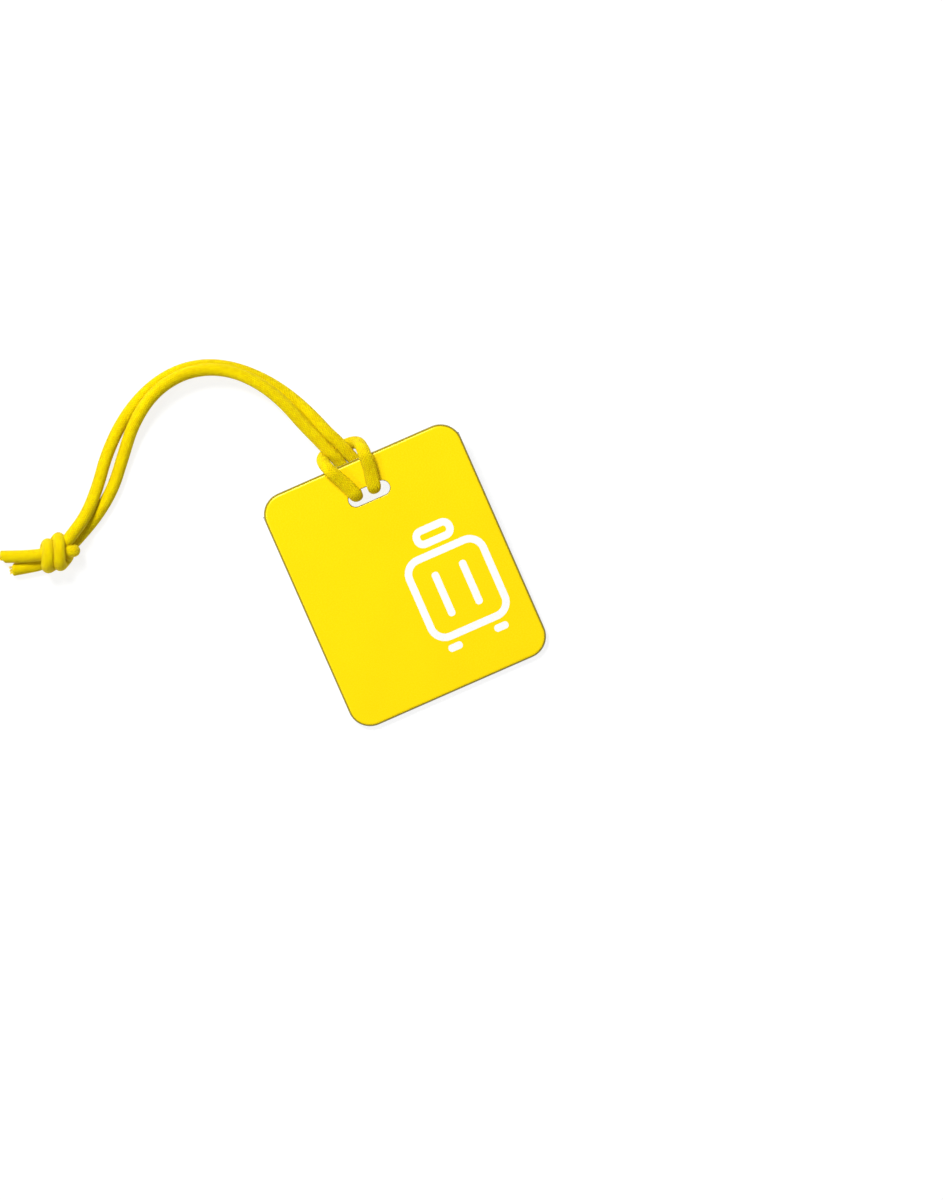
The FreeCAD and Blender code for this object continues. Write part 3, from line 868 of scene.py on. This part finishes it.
class LUGGAGETAG_OT_name_field(bpy.types.Operator):
    """Adds what is printed on the card: a long rounded field to write in, and a small figure beside it."""

    bl_idname = "luggagetag.name_field"
    bl_label = "Name field"

    def execute(self, context):
        settings = context.scene.luggage_tag_card
        low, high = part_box("name_card")
        up = tag_up()
        upwards = up.cross(Vector((1.0, 0.0, 0.0)))
        axes = Matrix((Vector((1.0, 0.0, 0.0)), upwards, up)).transposed().to_4x4()
        card_length = (high.y - low.y) / upwards.y
        card_thick = (high.z - low.z - card_length * upwards.z) / up.z
        under = Matrix.Translation((0.0, 0.0, -card_thick / 2 - INK_THICK))
        back = Matrix.Translation((low + high) / 2) @ axes @ under
        parts = [self.ring(settings), *self.figure(settings)]
        for part in parts:
            part.data.transform(back)
        piece = joined(parts, "name_field")
        piece.data.materials.clear()
        piece.data.materials.append(printed_ink(settings))
        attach(piece, "card")
        return {"FINISHED"}

    def ring(self, settings):
        """The field's outline: a circle drawn out into a long ring, then given its thickness."""
        deselect()
        radius = settings.field_width / 2
        reach = settings.field_length / 2 - radius
        bpy.ops.mesh.primitive_circle_add(vertices=64, radius=radius, fill_type="NOTHING")
        ring = bpy.context.object
        for sign in (1.0, -1.0):
            pick_points(ring, lambda place: place.y * sign > 1e-6)
            bpy.ops.transform.translate(value=(0.0, sign * reach, 0.0))
        bpy.ops.mesh.select_all(action="SELECT")
        bpy.ops.mesh.edge_face_add()
        bpy.ops.mesh.inset(thickness=settings.line, depth=0.0)
        bpy.ops.mesh.delete(type="FACE")
        self.thicken(ring)
        ring.data.transform(Matrix.Translation((0.0, -FIELD_DROP, 0.0)))
        return ring

    def figure(self, settings):
        """A plain head and shoulders: where a name goes, with no words."""
        beside = settings.field_width / 2 + FIGURE_GAP
        deselect()
        bpy.ops.mesh.primitive_circle_add(vertices=32, radius=HEAD_RADIUS, fill_type="NGON")
        head = bpy.context.object
        self.thicken(head)
        deselect()
        bpy.ops.mesh.primitive_circle_add(vertices=48, radius=SHOULDER_RADIUS, fill_type="NOTHING")
        shoulders = bpy.context.object
        pick_points(shoulders, lambda place: place.x > 1e-6)
        bpy.ops.mesh.delete(type="VERT")
        bpy.ops.mesh.select_all(action="SELECT")
        bpy.ops.mesh.edge_face_add()
        self.thicken(shoulders)
        head.data.transform(Matrix.Translation((-beside - HEAD_OUT, FIGURE_FOOT, 0.0)))
        shoulders.data.transform(Matrix.Translation((-beside + SHOULDER_IN, FIGURE_FOOT, 0.0)))
        return [head, shoulders]

    def thicken(self, part):
        """Raise a flat shape to the thickness of the ink."""
        activate(part)
        bpy.ops.object.mode_set(mode="EDIT")
        bpy.ops.mesh.select_all(action="SELECT")
        bpy.ops.mesh.extrude_region_move(TRANSFORM_OT_translate={"value": (0.0, 0.0, INK_THICK)})
        bpy.ops.mesh.select_all(action="SELECT")
        bpy.ops.mesh.normals_make_consistent(inside=False)
        bpy.ops.object.mode_set(mode="OBJECT")


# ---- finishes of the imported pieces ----


def give(node, material):
    """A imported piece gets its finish."""
    piece = frame["nodes"][node]
    piece.data.materials.clear()
    piece.data.materials.append(material)


class LUGGAGETAG_OT_front_finish(bpy.types.Operator):
    """Gives the front plate and its pictogram their plastics."""

    bl_idname = "luggagetag.front_finish"
    bl_label = "Front plate and pictogram"

    def execute(self, context):
        settings = context.scene.luggage_tag_plastic
        give("front_plate", yellow_plastic(settings))
        give("front_motif", white_print(settings))
        return {"FINISHED"}


class LUGGAGETAG_OT_pocket_finish(bpy.types.Operator):
    """Gives the backing, the header, the rim, the window and the card their materials."""

    bl_idname = "luggagetag.pocket_finish"
    bl_label = "Pocket and card"

    def execute(self, context):
        settings = context.scene.luggage_tag_plastic
        give("backing_sheet", white_plastic(settings))
        for node, name, haze, grains_per_metre, depth, transmission in (
            ("header_strip", "frosted_plastic", 0.45, 1800.0, 0.00003, 0.55),
            ("pocket_rim", "clear_plastic", 0.12, 240.0, 0.00003, 0.75),
            ("window_film", "clear_film", 0.03, 120.0, 0.00002, 1.0),
        ):
            give(node, clear_plastic(settings, name, haze, grains_per_metre, depth, transmission))
        give("name_card", card_paper(context.scene.luggage_tag_card))
        return {"FINISHED"}


# ---- the stage ----


class LUGGAGETAG_OT_stage(bpy.types.Operator):
    """Adds the floor, the soft lights and the camera."""

    bl_idname = "luggagetag.stage"
    bl_label = "Stage"

    def execute(self, context):
        settings = context.scene.luggage_tag_stage
        self.floor(settings)
        self.lights(settings)
        self.camera(context, settings)
        context.scene.view_settings.view_transform = "Standard"
        return {"FINISHED"}

    def floor(self, settings):
        """A wide pale floor just under the tag."""
        deselect()
        bpy.ops.mesh.primitive_plane_add(size=FLOOR_SIZE, location=(0.0, 0.0, -FLOOR_GAP))
        floor = bpy.context.object
        floor.name = "floor"
        floor.data.materials.append(floor_paper(settings))

    def lights(self, settings):
        """A key from the top left of the view, a small rim light, a weak fill and an even pale surround."""
        across = Matrix.Rotation(settings.turn, 3, "Z") @ Vector((1.0, 0.0, 0.0))
        upwards = Matrix.Rotation(settings.turn, 3, "Z") @ Vector((0.0, 1.0, 0.0))
        up = Vector((0.0, 0.0, 1.0))
        for name, (aside, upward, above), size, watts in LAMPS:
            offset = aside * across + upward * upwards + above * up
            place = Vector(settings.aim) + offset
            facing = (-offset).to_track_quat("-Z", "Y").to_euler()
            bpy.ops.object.light_add(type="AREA", location=place, rotation=facing)
            lamp = bpy.context.object
            lamp.name = name
            lamp.data.size = size
            lamp.data.energy = watts
        bpy.context.scene.world = self.surround(settings)

    def surround(self, settings):
        """An even light from all round, white at the horizon so that the floor runs into it."""
        world = bpy.data.worlds.new("surround")
        world.use_nodes = True
        tree = world.node_tree
        direction = tree.nodes.new("ShaderNodeTexCoord").outputs["Generated"]
        rise = add_node(tree, "ShaderNodeSeparateXYZ", Vector=direction).outputs["Z"]
        strength = spread_to(tree, rise, 1.0, settings.surround, *HORIZON_FADE)
        background = tree.nodes["Background"]
        background.inputs["Color"].default_value = (1.0, 1.0, 1.0, 1.0)
        tree.links.new(strength, background.inputs["Strength"])
        return world

    def camera(self, context, settings):
        """A long lens straight above the tag, turned so that the cord runs off to the left."""
        place = Vector(settings.aim) + Vector((0.0, 0.0, settings.height))
        bpy.ops.object.camera_add(location=place, rotation=(0.0, 0.0, settings.turn))
        camera = bpy.context.object
        camera.name = "camera"
        camera.data.lens = camera.data.sensor_width * settings.height / settings.view_height
        camera.data.clip_end = CAMERA_REACH
        context.scene.camera = camera


# ---- the add-on ----


class LUGGAGETAG_PT_build(bpy.types.Panel):
    """Lists the steps that build the tag's looks."""

    bl_idname = "LUGGAGETAG_PT_build"
    bl_label = "Luggage Tag"
    bl_space_type = "VIEW_3D"
    bl_region_type = "UI"
    bl_category = "Luggage Tag"

    def draw(self, context):
        for group in SETTINGS:
            settings = getattr(context.scene, group)
            box = self.layout.box()
            for name in settings.bl_rna.properties.keys():
                if name not in ("rna_type", "name"):
                    box.prop(settings, name)
        for operator in OPERATORS:
            self.layout.operator(operator.bl_idname)


SETTINGS = {
    "luggage_tag_cord": CordSettings,
    "luggage_tag_plastic": PlasticSettings,
    "luggage_tag_card": CardSettings,
    "luggage_tag_stage": StageSettings,
}
OPERATORS = (
    LUGGAGETAG_OT_stage,
    LUGGAGETAG_OT_cut_ends,
    LUGGAGETAG_OT_braided_cord,
    LUGGAGETAG_OT_front_finish,
    LUGGAGETAG_OT_pocket_finish,
    LUGGAGETAG_OT_name_field,
)
CLASSES = (*SETTINGS.values(), *OPERATORS, LUGGAGETAG_PT_build)


def register():
    for item in CLASSES:
        bpy.utils.register_class(item)
    for name, group in SETTINGS.items():
        setattr(bpy.types.Scene, name, PointerProperty(type=group))


def unregister():
    for name in SETTINGS:
        delattr(bpy.types.Scene, name)
    for item in reversed(CLASSES):
        bpy.utils.unregister_class(item)


def main():
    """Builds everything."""
    register()
    bpy.ops.luggagetag.stage()
    bpy.ops.luggagetag.cut_ends()
    bpy.ops.luggagetag.braided_cord()
    bpy.ops.luggagetag.front_finish()
    bpy.ops.luggagetag.pocket_finish()
    bpy.ops.luggagetag.name_field()


if __name__ == "__main__":
    main()
